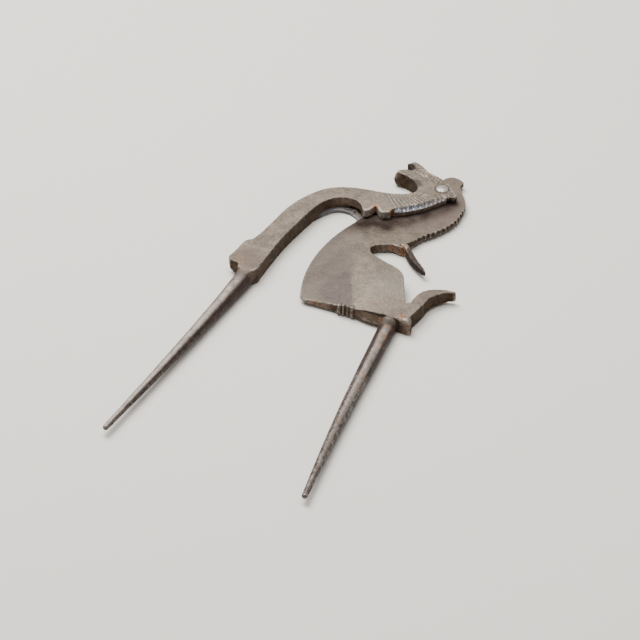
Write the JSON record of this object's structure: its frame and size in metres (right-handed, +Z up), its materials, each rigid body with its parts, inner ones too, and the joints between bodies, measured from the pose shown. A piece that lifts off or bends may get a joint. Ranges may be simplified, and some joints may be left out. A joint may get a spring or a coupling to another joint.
{
  "type": "nutcracker",
  "caption": "Hand-forged iron areca-nut cracker: a curved blade lever swings on a rivet in the slotted, horse-headed neck of an arched anvil lever; tapered handles.",
  "frame": {"origin": "under the middle of the part's box, on the surface it lies on", "axes": "+Z up out of the flat side, +Y from the handles towards the pivot and the carved head, +X from the anvil arm towards the blade arm"},
  "size_m": [0.0878, 0.2025, 0.0074],
  "materials": {
    "anvil_iron": "forged, dark brown patina, worn at the edges",
    "blade_iron": "forged and ground, grey-brown patina",
    "rivet_iron": "hammered and rubbed bright"
  },
  "bodies": {
    "anvil_lever": {"anvil_arm": "anvil_iron", "pivot_rivet": "rivet_iron"},
    "blade_lever": {"blade_arm": "blade_iron"}
  },
  "joints": [
    {"name": "blade_hinge", "type": "hinge", "parent": "anvil_lever", "child": "blade_lever", "pos_m": [0.0151, 0.0882, 0.0033], "axis": [0, 0, 1], "range_deg": [-13, 60]}
  ]
}
